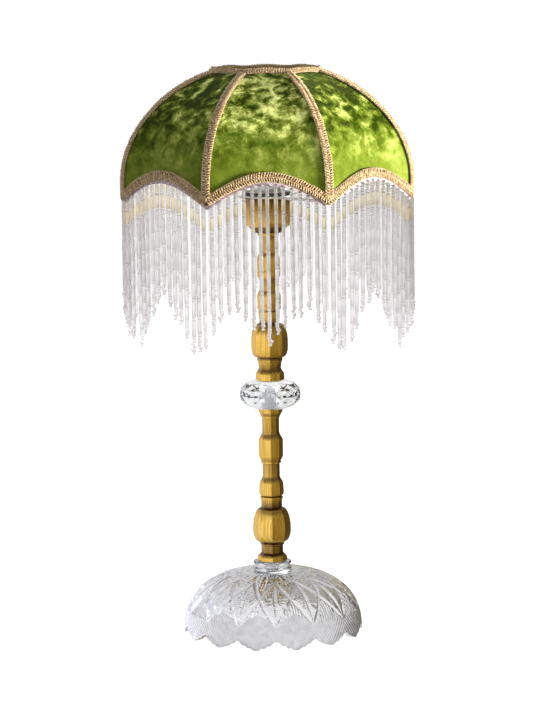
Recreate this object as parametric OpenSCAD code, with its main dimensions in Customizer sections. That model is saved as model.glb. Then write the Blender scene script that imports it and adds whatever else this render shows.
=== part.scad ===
// Table lamp: a cut-glass bowl for a base, an octagonal turned stem with a crystal,
// and an eight-panel fabric dome shade with a hanging fringe of glass beads.
// Millimetres, +Z up. The origin is on the table, under the middle of the base.
// The front is -Y: a flat shade panel and an edge of the stem face it.

/* [Base] */
// Radius of the glass bowl at the tips it stands on
base_r = 89; // [80:1:100]
// Height of the bowl's dome
base_h = 62.5; // [58:0.5:70]
// Thickness of the glass
glass_wall = 6; // [4:0.5:8]
// Number of lobes round the rim
lobes = 14; // [10:1:18]
// Depth of the notches between the lobes
notch_depth = 9; // [4:0.5:12]
// Turn of the bowl on its rod, from a lobe in front
base_turn = 14.6; // [0:0.1:25]

/* [Stem] */
// Outer diameter of the hollow threaded rod that clamps the stem
rod_d = 10; // [9.5:0.1:10]
// Diameter of the wire way through the rod
rod_bore = 7; // [6:0.5:8]
// Largest radius of the lower ball, across its edges
lower_ball_r = 19; // [17:0.5:22]
// Largest radius of the upper ball, across its edges
upper_ball_r = 18.4; // [17:0.5:22]
// Radius of the crystal at its girdle
crystal_r = 31; // [28:1:36]
// Radius of the socket cup, across its edges
cup_r = 24.5; // [24.5:0.5:27]

/* [Shade] */
// Radius of the shade at a rib, at its widest
shade_r = 149.5; // [140:0.5:160]
// Rise of the dome, from its widest level to the middle of its curve
dome_rise = 109.5; // [100:0.5:120]
// Number of panels
panels = 8; // [8:1:8]
// Rise of the scalloped edge between two ribs
scallop = 22.5; // [10:0.5:26]
// Radius of the top opening at a rib
top_r = 55; // [50:1:66]
// Width of the braid over the ribs and along the bottom
braid_w = 9; // [6:0.5:11]

/* [Fringe] */
// Length of the longest bead strings, at the points of the zigzag
long_drop = 151; // [100:1:170]
// Length of the shortest bead strings
short_drop = 109; // [80:1:140]
// Number of zigzag points round the shade
points = 12; // [6:1:16]

/* [Hidden] */

$fn = 64;
fit = 0.2;          // clearance between parts clamped on the rod
rod_r = rod_d / 2;
hole_r = rod_r + fit;
sleeve_r = 6.5;     // outside of the chrome sleeves inside the glass pieces

// Levels up the lamp
seat_z = 61.5;                      // flat on top of the bowl
collar_z = seat_z + 0.8;
stem_z = 71;                        // foot of the lower baluster
middle_z = stem_z + 65.4;
crystal_z = middle_z + 88.5;
upper_z = crystal_z + 28.1;
top_z = upper_z + 69.1;
cup_z = top_z + 77.8;
cup_rim_z = cup_z + 34.4;
nut_h = 6;
washer_t = 1.5;
gasket_t = 1.5;
seat_r = 18;                        // ground seats for the gaskets, over and under the glass
under_z = base_h - glass_wall - 1;  // underside of the glass at the rod

// ---------- turned and faceted shapes ----------

// Kinds of stretch in a turning
LINE = 0;    // straight
SWEEP = 1;   // S-curve
OPEN = 2;    // quarter round that opens to its full radius
CLOSE = 3;   // quarter round that closes from its full radius
arc_steps = 6;

// Points of one stretch [height, radius below, radius above, kind] that starts at level z
function stretch(s, z) =
  let (h = s[0], r0 = s[1], r1 = s[2], n = s[3] == LINE ? 1 : arc_steps)
  [for (i = [0:n]) let (t = i / n, a = 90 * t)
    s[3] == SWEEP ? [r0 + (r1 - r0) * (1 - cos(2 * a)) / 2, z + h * t] :
    s[3] == OPEN ? [r0 + (r1 - r0) * sin(a), z + h * (1 - cos(a))] :
    s[3] == CLOSE ? [r1 + (r0 - r1) * cos(a), z + h * sin(a)] :
    [r0 + (r1 - r0) * t, z + h * t]];

// Outline of a whole turning, from the axis out and back to it
function turning(list, z, i = 0) =
  i == len(list) ? [] : concat(stretch(list[i], z), turning(list, z + list[i][0], i + 1));

// A turning with flat sides: the solid that every flat's silhouette has in common
module faceted(outline, sides) {
  flat = cos(180 / sides);
  right = [for (p = outline) [p[0] * flat, p[1]]];
  left = [for (i = [len(outline) - 1:-1:0]) [-outline[i][0] * flat, outline[i][1]]];
  intersection_for (k = [0:sides / 2 - 1])
    rotate([0, 0, (k + 0.5) * 360 / sides])
      rotate([90, 0, 0])
        linear_extrude(height = 4 * crystal_r, center = true)
          polygon(concat(right, left));
}

module tube(r_out, r_in, h) {
  difference() {
    cylinder(r = r_out, h = h);
    translate([0, 0, -1]) cylinder(r = r_in, h = h + 2);
  }
}

// An eight-sided ring, measured over its corners
module tube_sided(r_out, r_in, h) {
  difference() {
    cylinder(r = r_out, h = h, $fn = panels);
    translate([0, 0, -1]) cylinder(r = r_in, h = h + 2, $fn = panels);
  }
}

// One piece of the stem, bored for the rod
module baluster(list, z) {
  difference() {
    faceted(turning(list, z), 8);
    translate([0, 0, z - 1]) cylinder(r = hole_r, h = 120);
  }
}

// ---------- base ----------

// Outline of the bowl: a curve between an ellipse and a box
bowl_power = 2.5;
bowl_steps = 20;
function bowl_curve(r, h) = [for (i = [0:bowl_steps]) let (a = 90 * i / bowl_steps)
  [r * pow(sin(a), 2 / bowl_power), h * pow(cos(a), 2 / bowl_power)]];

module glass_base() {
  tip_flat = 4;       // half width of the ground flat on each lobe
  notch_top = 4;      // half width of the notch near its top
  gap = base_r * sin(180 / lobes) - tip_flat;
  color([0.9, 0.93, 0.94, 0.4])
  difference() {
    rotate_extrude($fn = 96) polygon(concat([[0, 0]], bowl_curve(base_r, base_h)));
    translate([0, 0, -0.01])
      rotate_extrude($fn = 96)
        polygon(concat([[0, 0]], bowl_curve(base_r - glass_wall, under_z)));
    translate([0, 0, seat_z]) cylinder(r = 2 * seat_r, h = base_h);
    translate([0, 0, under_z - gasket_t]) cylinder(r = seat_r, h = gasket_t);
    cylinder(r = rod_r + 0.5, h = 2 * base_h);
    for (k = [0:lobes - 1])
      rotate([0, 0, base_turn - 90 + (k + 0.5) * 360 / lobes])
        translate([base_r / 2, 0, 0]) rotate([90, 0, 90])
          linear_extrude(height = base_r)
            polygon([[-gap, -1], [-gap, 0], [-notch_top, notch_depth * 0.75], [0, notch_depth],
                     [notch_top, notch_depth * 0.75], [gap, 0], [gap, -1]]);
  }
}

module base_gasket() color("dimgray")
  translate([0, 0, under_z - gasket_t]) tube(seat_r - 1, hole_r, gasket_t - 0.05);

module base_washer() color("silver")
  translate([0, 0, under_z - gasket_t - washer_t]) tube(seat_r - 2, hole_r, washer_t);

module base_nut() color("silver")
  translate([0, 0, under_z - gasket_t - washer_t - nut_h])
    difference() {
      cylinder(r = 9.8, h = nut_h, $fn = 6);
      translate([0, 0, -1]) cylinder(r = rod_r + 0.05, h = nut_h + 2);
    }

rod_foot_z = under_z - gasket_t - washer_t - nut_h - 3;
rod_top_z = cup_z + 10;

module threaded_rod() color("darkgray")
  translate([0, 0, rod_foot_z]) tube(rod_r, rod_bore / 2, rod_top_z - rod_foot_z);

module cord_bush() color("white")
  difference() {
    union() {
      translate([0, 0, rod_foot_z - 1.5]) cylinder(r = rod_r, h = 1.5);
      translate([0, 0, rod_foot_z - 0.1]) cylinder(r = rod_bore / 2 - 0.05, h = 8);
    }
    translate([0, 0, rod_foot_z - 2]) cylinder(r = rod_bore / 2 - 1, h = 12);
  }

module collar_gasket() color("whitesmoke")
  translate([0, 0, seat_z]) tube(seat_r - 2, hole_r, collar_z - seat_z - 0.05);

module glass_collar() {
  h = stem_z - collar_z;
  color([0.9, 0.93, 0.94, 0.4])
  translate([0, 0, collar_z])
    rotate_extrude()
      polygon([[sleeve_r + fit, 0], [18, 0], [19, 1], [19, 2], [17.5, 3.4],
               [17.5, h - 3.4], [19, h - 2], [19, h - 1], [18, h], [sleeve_r + fit, h]]);
}

module collar_sleeve() color("lightgray")
  translate([0, 0, collar_z]) tube(sleeve_r, hole_r, stem_z - collar_z);

// ---------- stem ----------

lower_turning = [
  [3.5, 15, 15, LINE], [5.5, 15, 11, SWEEP], [7, 11, 11, LINE], [2.2, 12, 12, LINE],
  [1.3, 12.6, 13.6, LINE], [13, 13.6, lower_ball_r, OPEN], [21.4, lower_ball_r, 11, CLOSE],
  [7, 10.5, 10.5, LINE], [3, 10.5, 11.5, SWEEP], [1.5, 11.5, 11.5, LINE]];

middle_turning = [
  [1.2, 10.8, 10.8, LINE], [3, 12, 12.5, LINE], [8.3, 12.5, 12, LINE], [8, 12, 8.7, SWEEP],
  [12.8, 8.7, 8.7, LINE], [3.7, 10, 10, LINE], [1.6, 11, 11, LINE], [2, 11.6, 12.2, LINE],
  [15.5, 12.2, 12.2, LINE], [8.1, 12.2, 8.9, SWEEP], [13.1, 8.6, 8.6, LINE],
  [4, 8.6, 9.6, SWEEP], [3, 9.8, 11.4, LINE], [4.2, 12, 12.3, LINE]];

upper_turning = [
  [5.9, 14.4, 14.4, LINE], [6.1, 14.4, 11.3, SWEEP], [6.9, 11, 11.9, LINE],
  [4, 12.6, 12.9, LINE], [10.1, 13.6, upper_ball_r, OPEN],
  [7, upper_ball_r, upper_ball_r, LINE], [16.8, upper_ball_r, 10.4, CLOSE],
  [5, 9.9, 9.9, LINE], [6, 10.4, 10.9, LINE], [1.3, 10.9, 10.9, LINE]];

top_turning = [
  [2.7, 10.6, 11.8, SWEEP], [2.6, 11.8, 11.8, LINE], [1, 11.1, 11.1, LINE],
  [8.4, 11.8, 11.8, LINE], [6.9, 11.8, 9.4, SWEEP], [9, 9.3, 9.3, LINE],
  [3.9, 9.4, 11.3, SWEEP], [4.5, 11.3, 11.3, LINE], [1, 10.7, 10.7, LINE],
  [12.1, 11.3, 11.3, LINE], [6.9, 11.3, 8.9, SWEEP], [11.9, 8.85, 8.85, LINE],
  [6, 8.9, 10.8, SWEEP], [0.9, 10.8, 10.8, LINE]];

module lower_baluster() color("darkgoldenrod") baluster(lower_turning, stem_z);

module middle_baluster() color("darkgoldenrod") baluster(middle_turning, middle_z);

module upper_baluster() color("darkgoldenrod") baluster(upper_turning, upper_z);

module top_baluster() color("darkgoldenrod") baluster(top_turning, top_z);

module crystal_ball() {
  crystal_turning = [
    [1.5, 15, 20, LINE], [4.5, 20, 26.5, LINE], [7, 26.5, crystal_r, LINE],
    [5, crystal_r, crystal_r, LINE], [4, crystal_r, 28, LINE], [4, 28, 21.5, LINE],
    [2, 21.5, 16, LINE]];
  color([0.92, 0.94, 0.96, 0.4])
  difference() {
    faceted(turning(crystal_turning, crystal_z), 16);
    translate([0, 0, crystal_z - 1]) cylinder(r = sleeve_r + fit, h = 40);
  }
}

module crystal_sleeve() color("lightgray")
  translate([0, 0, crystal_z]) tube(sleeve_r, hole_r, upper_z - crystal_z);

cup_floor = 3;
cup_foot_h = 9.8;   // foot and flare of the cup, below its straight wall
cup_well_r = cup_r - 7.2;

module socket_cup() {
  cup_turning = [[5.9, 15.2, 19.7, LINE], [3.9, 21.3, cup_r, LINE], [24.6, cup_r, cup_r, LINE]];
  wall = 2.2;
  color("darkgoldenrod")
  difference() {
    faceted(turning(cup_turning, cup_z), 8);
    translate([0, 0, cup_z - 1]) cylinder(r = hole_r, h = 10);
    translate([0, 0, cup_z + cup_floor]) cylinder(r = cup_well_r, h = 40);
    translate([0, 0, cup_z + cup_foot_h]) cylinder(r = cup_r - wall, h = 40, $fn = 8);
  }
}

// ---------- lampholder and bulb ----------

holder_z = cup_z + cup_floor;
cap_h = 9;
cap_wall = 1.6;
shell_z = holder_z + cap_h;
shell_r = 20;
shell_bore_r = 17.2;
shell_top_z = cup_rim_z + 5.4;
core_h = 6;
thread_z = shell_z + core_h;

module holder_cap() color("black")
  difference() {
    translate([0, 0, holder_z]) cylinder(r = cup_well_r - 0.2, h = cap_h - 0.1);
    translate([0, 0, holder_z - 1]) cylinder(r = hole_r, h = cap_h);
    translate([0, 0, holder_z + 3]) cylinder(r = cup_well_r - 0.2 - cap_wall, h = cap_h);
  }

module holder_shell() color("black")
  translate([0, 0, shell_z]) tube(shell_r, shell_bore_r, shell_top_z - shell_z);

terminal_x = 10;

module holder_insulator() color("white")
  translate([0, 0, shell_z])
    difference() {
      cylinder(r = shell_bore_r - 0.2, h = core_h);
      for (x = [-terminal_x, terminal_x])
        translate([x, 0, -1]) cylinder(r = 1.7, h = core_h - 1);
    }

module screw_shell() color("gold")
  translate([0, 0, thread_z]) tube(14.2, 13.7, shell_top_z - thread_z - 2);

module centre_contact() color("gold")
  translate([0, 0, thread_z]) cylinder(r = 4, h = 1.4);

module terminal_screws() color("gold")
  for (x = [-terminal_x, terminal_x])
    translate([x, 0, shell_z]) {
      translate([0, 0, -2.4]) cylinder(r = 2.8, h = 2.3);
      translate([0, 0, -0.2]) cylinder(r = 1.5, h = 4);
    }

bulb_z = thread_z + 1.6;
bulb_r = 18.5;
bulb_cap_h = 24;
glass_z = bulb_z + 2 + bulb_cap_h;
glass_h = 66;

module bulb_contact() color("silver")
  translate([0, 0, bulb_z]) cylinder(r = 4.7, h = 1.95);

module bulb_cap() color("silver")
  translate([0, 0, bulb_z + 2])
    difference() {
      cylinder(r = 13.2, h = bulb_cap_h);
      translate([0, 0, 1]) cylinder(r = 12.6, h = bulb_cap_h);
    }

// Candle-shaped envelope: a belly that closes to a round tip
bulb_curve = [[glass_h * 0.3, 12.8, bulb_r, OPEN], [glass_h * 0.7, bulb_r, 1, SWEEP]];
bulb_wall = 0.9;

module bulb_glass() {
  outer = turning(bulb_curve, glass_z);
  inner = [for (i = [len(outer) - 1:-1:0])
    [max(outer[i][0] - bulb_wall, 0), min(outer[i][1], glass_z + glass_h - 3)]];
  color([1, 0.98, 0.92, 0.4])
    rotate_extrude() polygon(concat(outer, [[0, glass_z + glass_h]], inner));
}

module bulb_filament() {
  stem_h = 22;
  color("gold")
    translate([0, 0, glass_z - 10]) cylinder(r = 2.6, h = stem_h);
  color("khaki")
    for (a = [45:90:315])
      rotate([0, 0, a]) translate([6.5, 0, glass_z + 6]) cylinder(r = 0.8, h = 34);
  color("silver")
    translate([0, 0, glass_z + 4.5]) tube(7.6, 2.7, 1.4);
}

module shade_ring() color("black")
  translate([0, 0, cup_rim_z + 2.1])
    difference() {
      cylinder(r = 23.6, h = 3.2);
      translate([0, 0, -1]) cylinder(r = shell_r + 0.3, h = 6);
    }

// ---------- shade ----------

half = 180 / panels;                // half a panel's angle
flat_c = cos(half);                 // a panel's middle is this share of its rib radius
dome_z = 455;                       // level at which the shade is widest
edge_z = 438;                       // scalloped edge, at a rib
crown_z = dome_z + dome_rise * sqrt(1 - pow(top_r / shade_r, 2));
dome_steps = 16;
panel_t = 1;
braid_t = 2.2;
crown_braid_w = 3.6;                // height of the crown's braid at a rib
crown_arch = 3.2;                   // it stands this much higher over a panel's middle
wire = 2.4;
lining_in = 4.6;                    // the lining hangs this far inside the velvet
hem_w = 5;                          // the fringe's tape, below the braid
half_w = shade_r * sin(half);       // half the width of a panel

function dome_angle(z) = asin((z - dome_z) / dome_rise);

// Dome curve, inset from the outer one, in a plane at the share c of the rib radius
function dome_curve(inset, c, z0, z1) = [for (i = [0:dome_steps])
  let (a = dome_angle(z0) + (dome_angle(z1) - dome_angle(z0)) * i / dome_steps)
  [shade_r * c * cos(a) - inset * cos(a), dome_z + (dome_rise - inset) * sin(a)]];

function reversed(list) = [for (i = [len(list) - 1:-1:0]) list[i]];

// Section of a layer of the dome, from inset to inset + t
module dome_section(inset, t, c, z0, z1) {
  polygon(concat(dome_curve(inset, c, z0, z1), reversed(dome_curve(inset + t, c, z0, z1))));
}

// Level of the scalloped edge at the distance y from a panel's middle
function edge(y) = edge_z + scallop * cos(90 * min(1, abs(y) / half_w));
edge_steps = 20;
function edge_line(rise) = [for (i = [0:edge_steps])
  let (y = half_w * 1.05 * (2 * i / edge_steps - 1)) [y, edge(y) + rise]];

// The slab of space between two levels that follow the scallops
module scallop_slot(low, high) {
  rotate([90, 0, 90])
    linear_extrude(height = 2 * shade_r)
      polygon(concat(edge_line(low), reversed(edge_line(high))));
}

// The sector of one panel, less a seam on each side
module sector(seam) {
  reach = 2 * shade_r;
  translate([seam / sin(half), 0, 0])
    linear_extrude(height = 1000)
      polygon([[0, 0], [reach, reach * tan(half)], [reach, -reach * tan(half)]]);
}

// A layer of one panel: flat across and curved upwards, between two ribs
module gore(inset, t, low, high, seam = 0.1) {
  intersection() {
    rotate([90, 0, 0])
      linear_extrude(height = 3 * half_w, center = true)
        dome_section(inset, t, flat_c, edge_z - 12, crown_z);
    sector(seam);
    scallop_slot(low, high);
  }
}

// Children once for each panel, the first one in front
module each_panel() {
  for (i = [0:panels - 1]) rotate([0, 0, i * 2 * half - 90]) children();
}

// Children once for each rib
module each_rib() {
  for (i = [0:panels - 1]) rotate([0, 0, (i + 0.5) * 2 * half - 90]) children();
}

module velvet_panel(i) color("olivedrab")
  rotate([0, 0, (i - 1) * 2 * half - 90]) gore(0, panel_t, 0, 200);

module lining() color("ivory")
  difference() {
    each_panel() gore(lining_in, 0.8, 5, 200);
    translate([0, 0, crown_z - 3]) cylinder(r = shade_r, h = 20);
  }

module bottom_braid() color("tan")
  each_panel() gore(-braid_t - 0.1, braid_t, -1, braid_w - 1, 0);

// Braid that stands on the crown's edge, arched over each panel
module top_braid() {
  w = top_r * sin(half);
  low = crown_z + 0.05;
  arch = [for (i = [-10:10])
    [w * 1.1 * i / 10, low + crown_braid_w + crown_arch * cos(90 * min(1, abs(1.1 * i / 10)))]];
  color("tan")
  each_panel()
    intersection() {
      rotate([0, 0, half])
        translate([0, 0, low])
          tube_sided(top_r + braid_t, top_r - 1, 2 * crown_braid_w);
      sector(0);
      rotate([90, 0, 90])
        linear_extrude(height = shade_r)
          polygon(concat([[-w * 1.1, low - 1]], arch, [[w * 1.1, low - 1]]));
    }
}

module rib_braids() color("tan")
  each_rib()
    rotate([90, 0, 0])
      linear_extrude(height = braid_w, center = true)
        dome_section(-braid_t - 0.15, braid_t, 1, edge_z + braid_w + 2, crown_z - 4);

module fringe_tape() color("mistyrose")
  each_panel() gore(0, panel_t, -hem_w, -0.1);

module frame_ribs() color("white")
  each_rib()
    rotate([90, 0, 0])
      linear_extrude(height = wire, center = true)
        dome_section(1.6, wire, 1, edge_z + 0.5, crown_z - wire - 1.5);

module top_ring() color("white")
  rotate([0, 0, half])
    translate([0, 0, crown_z - wire - 0.5])
      tube_sided(top_r - 1.6, top_r - 1.6 - wire, wire);

module bottom_wire() color("white")
  each_panel() gore(1.5, wire, 1, 1 + wire, wire / 2 + 0.05);

fitter_z = cup_rim_z + 0.3;
fitter_r = 24;
fitter_t = 1.6;

module fitter_ring() color("white")
  translate([0, 0, fitter_z]) tube(fitter_r, shell_r + 1, fitter_t);

module spider_arms() {
  arm_r = 1.4;
  start_z = fitter_z + fitter_t / 2;
  end_r = shade_r - 5.8;
  end_z = edge_z + 1.2;
  run = end_r - fitter_r - 0.1;
  rise = end_z - start_z;
  color("white")
  for (i = [0:2:panels - 1])
    rotate([0, 0, (i + 0.5) * 2 * half - 90])
      translate([fitter_r + 0.1, 0, start_z])
        rotate([0, 90 - atan(rise / run), 0])
          cylinder(r = arm_r, h = sqrt(run * run + rise * rise));
}

// ---------- fringe ----------

fringe_r = shade_r * flat_c - 1.5;  // distance of a row of strings from the axis
fringe_t = 1.2;
fringe_gap = 3.2;                   // room beside a rib for two rows to swing
fringe_half = fringe_r * tan(half) - fringe_gap;
fringe_top = -hem_w - 1.2;          // from the scalloped edge
fringe_steps = 36;

// Share of the way to a point of the zigzag, at an angle round the shade
function zigzag(angle) =
  let (turns = angle * points / 360, part = turns - floor(turns))
  abs(2 * part - 1);

// Bottom of the strings of panel i at the distance y from its middle
function fringe_bottom(i, y) =
  edge(y) - short_drop - (long_drop - short_drop) *
    zigzag((i - 1) * 2 * half - 90 + atan(y / fringe_r));

module fringe(i) {
  ys = [for (k = [0:fringe_steps]) fringe_half * (2 * k / fringe_steps - 1)];
  color([0.88, 0.86, 0.86])
  rotate([0, 0, (i - 1) * 2 * half - 90])
    translate([fringe_r - fringe_t / 2, 0, 0]) rotate([90, 0, 90])
      linear_extrude(height = fringe_t)
        polygon(concat([for (y = ys) [y, edge(y) + fringe_top]],
                       [for (y = reversed(ys)) [y, fringe_bottom(i, y)]]));
}

// ---------- what is drawn ----------

glass_base();
base_gasket();
base_washer();
base_nut();
threaded_rod();
cord_bush();
collar_gasket();
glass_collar();
collar_sleeve();
lower_baluster();
middle_baluster();
crystal_ball();
crystal_sleeve();
upper_baluster();
top_baluster();
socket_cup();
holder_cap();
holder_shell();
holder_insulator();
screw_shell();
centre_contact();
terminal_screws();
bulb_cap();
bulb_contact();
bulb_glass();
bulb_filament();
shade_ring();
fitter_ring();
spider_arms();
top_ring();
frame_ribs();
bottom_wire();
lining();
top_braid();
bottom_braid();
rib_braids();
fringe_tape();
for (i = [1:panels])
  velvet_panel(i);
for (i = [1:panels])
  fringe(i);
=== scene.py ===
"""Looks of the table lamp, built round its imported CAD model. Sizes are in millimetres until mesh()."""
import math

import bpy
import numpy as np
from mathutils import Matrix, Vector


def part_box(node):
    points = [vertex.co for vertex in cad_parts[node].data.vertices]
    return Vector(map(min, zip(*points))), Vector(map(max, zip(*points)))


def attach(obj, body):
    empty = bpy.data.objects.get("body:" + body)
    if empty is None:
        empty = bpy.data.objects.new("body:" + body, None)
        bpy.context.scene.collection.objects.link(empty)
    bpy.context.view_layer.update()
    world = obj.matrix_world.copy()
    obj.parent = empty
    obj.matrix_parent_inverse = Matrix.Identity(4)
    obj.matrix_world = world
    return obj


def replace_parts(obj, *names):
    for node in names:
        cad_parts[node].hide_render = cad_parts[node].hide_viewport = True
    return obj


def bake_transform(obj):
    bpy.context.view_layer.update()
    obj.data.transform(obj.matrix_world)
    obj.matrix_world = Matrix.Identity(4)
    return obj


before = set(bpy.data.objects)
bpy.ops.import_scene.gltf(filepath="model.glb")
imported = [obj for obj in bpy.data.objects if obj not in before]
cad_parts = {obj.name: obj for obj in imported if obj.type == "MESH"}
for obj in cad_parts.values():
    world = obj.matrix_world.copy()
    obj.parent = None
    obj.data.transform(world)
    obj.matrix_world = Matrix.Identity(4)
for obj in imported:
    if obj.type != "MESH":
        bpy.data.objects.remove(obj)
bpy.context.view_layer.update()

MM = 0.001
rng = np.random.default_rng(7)


# ---------- meshes ----------

def mesh(name, verts, faces, body, slot, materials, smooth=True, indices=None, sharp=None):
    """A piece from points in millimetres and faces as lists of point numbers."""
    data = bpy.data.meshes.new(name)
    data.from_pydata((np.asarray(verts, float) * MM).tolist(), [], [list(map(int, f)) for f in faces])
    data.validate()
    piece = bpy.data.objects.new(name, data)
    bpy.context.scene.collection.objects.link(piece)
    for m in materials if isinstance(materials, list) else [materials]:
        data.materials.append(m)
    data.polygons.foreach_set("use_smooth", [smooth] * len(data.polygons))
    if indices is not None:
        data.polygons.foreach_set("material_index", indices)
    if sharp is not None:
        data.set_sharp_from_angle(angle=math.radians(sharp))
    if body:
        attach(piece, body)
    return piece


def attribute(piece, name, values):
    """One number for each point, which the piece's material reads."""
    layer = piece.data.attributes.new(name, "FLOAT", "POINT")
    layer.data.foreach_set("value", np.asarray(values, np.float32))


def grid_faces(rows, cols, close_rows=False, close_cols=False):
    """Quads of a grid of points, row by row."""
    faces = []
    for i in range(rows if close_rows else rows - 1):
        for j in range(cols if close_cols else cols - 1):
            a, b = i * cols + j, i * cols + (j + 1) % cols
            c, d = (i + 1) % rows * cols + (j + 1) % cols, (i + 1) % rows * cols + j
            faces.append((a, b, c, d))
    return faces


def ring(r, turn, z):
    """Points round Z at the angles turn; the radius and the height may change along the ring."""
    return np.stack([r * np.cos(turn), r * np.sin(turn), z + 0 * turn], -1)


def spun(profile, count):
    """Rings of points round Z for each (radius, height) of a profile."""
    turn = 2 * math.pi * np.arange(count) / count
    return np.concatenate([ring(r, turn, z) for r, z in profile])


def lathe(name, profile, body, slot, material, count=64, sharp=35):
    """A ring-shaped or bored turning from a closed profile of (radius, height)."""
    return mesh(name, spun(profile, count), grid_faces(len(profile), count, True, True),
                body, slot, material, sharp=sharp)


def tube_along(points, radius, sides, closed=False):
    """Points and faces of a round cord along a line of points."""
    p = np.asarray(points, float)
    n = len(p)
    if closed:
        tangent = np.roll(p, -1, 0) - np.roll(p, 1, 0)
    else:
        tangent = np.gradient(p, axis=0)
    tangent /= np.linalg.norm(tangent, axis=1)[:, None]
    up = np.where(np.abs(tangent[:, 2:3]) > 0.9, [[1.0, 0, 0]], [[0, 0, 1.0]])
    side = np.cross(tangent, up)
    side /= np.linalg.norm(side, axis=1)[:, None]
    other = np.cross(side, tangent)
    turn = 2 * math.pi * np.arange(sides) / sides
    ring = (np.cos(turn)[None, :, None] * side[:, None] + np.sin(turn)[None, :, None] * other[:, None])
    verts = (p[:, None] + radius * ring).reshape(-1, 3)
    faces = grid_faces(n, sides, closed, True)
    if not closed:
        faces += [tuple(range(sides))[::-1], tuple(range((n - 1) * sides, n * sides))]
    return verts, faces


def joined(parts):
    """Several (points, faces) as one."""
    verts, faces, start = [], [], 0
    for v, f in parts:
        verts.append(v)
        faces += [tuple(i + start for i in face) for face in f]
        start += len(v)
    return np.concatenate(verts), faces


# ---------- materials ----------

def shader(name, color, roughness, **sockets):
    """A material, its node tree and its Principled shader."""
    m = bpy.data.materials.new(name)
    m.use_nodes = True
    tree = m.node_tree
    bsdf = tree.nodes["Principled BSDF"]
    bsdf.inputs["Base Color"].default_value = (*color, 1)
    bsdf.inputs["Roughness"].default_value = roughness
    for key, value in sockets.items():
        bsdf.inputs[key.replace("_", " ")].default_value = value
    return m, tree, bsdf


def node(tree, kind, inputs=(), **settings):
    """A node with settings and with its inputs given as values or linked from sockets."""
    n = tree.nodes.new(kind)
    for key, value in settings.items():
        setattr(n, key, value)
    for key, value in dict(inputs).items():
        if isinstance(value, bpy.types.NodeSocket):
            tree.links.new(value, n.inputs[key])
        else:
            n.inputs[key].default_value = value
    return n


def place(tree, scale=(1, 1, 1)):
    """The object's own coordinates, in metres, scaled."""
    coords = node(tree, "ShaderNodeTexCoord").outputs["Object"]
    return node(tree, "ShaderNodeMapping", {"Vector": coords, "Scale": scale}).outputs[0]


def noise(tree, where, scale, detail=3.0, distortion=0.0, roughness=0.5):
    n = node(tree, "ShaderNodeTexNoise", {"Vector": where, "Scale": scale, "Detail": detail,
                                          "Distortion": distortion, "Roughness": roughness})
    return n.outputs["Fac"]


def ramp(tree, fac, stops):
    """A colour ramp through (place, (r, g, b)) stops."""
    n = node(tree, "ShaderNodeValToRGB", {"Fac": fac})
    while len(n.color_ramp.elements) < len(stops):
        n.color_ramp.elements.new(0.5)
    for element, (at, color) in zip(n.color_ramp.elements, stops):
        element.position = at
        element.color = (*color, 1)
    return n.outputs["Color"]


def grey(tree, fac, stops):
    return ramp(tree, fac, [(at, (v, v, v)) for at, v in stops])


def mixed(tree, fac, a, b, blend="MIX"):
    n = node(tree, "ShaderNodeMix", data_type="RGBA", blend_type=blend)
    for key, value in ((0, fac), (6, a), (7, b)):
        if isinstance(value, bpy.types.NodeSocket):
            tree.links.new(value, n.inputs[key])
        else:
            n.inputs[key].default_value = value if key == 0 else (*value, 1)
    return n.outputs[2]


def bump(tree, bsdf, height, distance, strength=1.0):
    n = node(tree, "ShaderNodeBump", {"Height": height, "Distance": distance, "Strength": strength})
    tree.links.new(n.outputs[0], bsdf.inputs["Normal"])


def grained(name, color, roughness, scale, detail, stretch=(1, 1, 1), tint=(), gloss=(), relief=(),
            **sockets):
    """A material with one grain of noise, which sets its colour, its roughness or its relief."""
    m, tree, bsdf = shader(name, color, roughness, **sockets)
    grain = noise(tree, place(tree, stretch), scale, detail)
    if tint:
        tree.links.new(ramp(tree, grain, tint), bsdf.inputs["Base Color"])
    if gloss:
        tree.links.new(grey(tree, grain, gloss), bsdf.inputs["Roughness"])
    if relief:
        bump(tree, bsdf, grain, *relief)
    return m


def brass_material():
    """Brushed antique brass: bright on the flats, brown in the grooves, streaked along the stem."""
    m, tree, bsdf = shader("antique_brass", (0.68, 0.42, 0.07), 0.24, Metallic=1.0,
                           Specular_Tint=(1, 0.9, 0.68, 1), Coat_Weight=0.3, Coat_Roughness=0.1)
    streaks = noise(tree, place(tree, (700, 700, 14)), 1.0, 3)
    patches = noise(tree, place(tree), 45, 3, 0.3)
    worn = node(tree, "ShaderNodeAttribute", attribute_name="patina").outputs["Fac"]
    color = ramp(tree, streaks, [(0.3, (0.51, 0.26, 0.024)), (0.5, (0.68, 0.41, 0.055)),
                                 (0.7, (0.8, 0.55, 0.14))])
    color = mixed(tree, grey(tree, patches, [(0.4, 0.0), (0.75, 0.3)]), color, (0.48, 0.25, 0.025))
    color = mixed(tree, worn, color, (0.06, 0.02, 0.004))
    tree.links.new(color, bsdf.inputs["Base Color"])
    tree.links.new(grey(tree, streaks, [(0.3, 0.3), (0.7, 0.2)]), bsdf.inputs["Roughness"])
    bump(tree, bsdf, streaks, 0.00005, 0.3)
    return m


def chrome_material():
    """Chrome with fine turning marks round the tube."""
    return grained("chrome", (0.82, 0.84, 0.86), 0.1, 1.0, 3, stretch=(20, 20, 900),
                   gloss=[(0.3, 0.06), (0.7, 0.2)], Metallic=1.0)


def steel_material():
    """Zinc plate with its spangle."""
    return grained("zinc_steel", (0.55, 0.55, 0.53), 0.35, 500, 3,
                   tint=[(0.3, (0.42, 0.42, 0.4)), (0.7, (0.66, 0.66, 0.64))], relief=(0.0001, 0.4),
                   Metallic=1.0)


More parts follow.
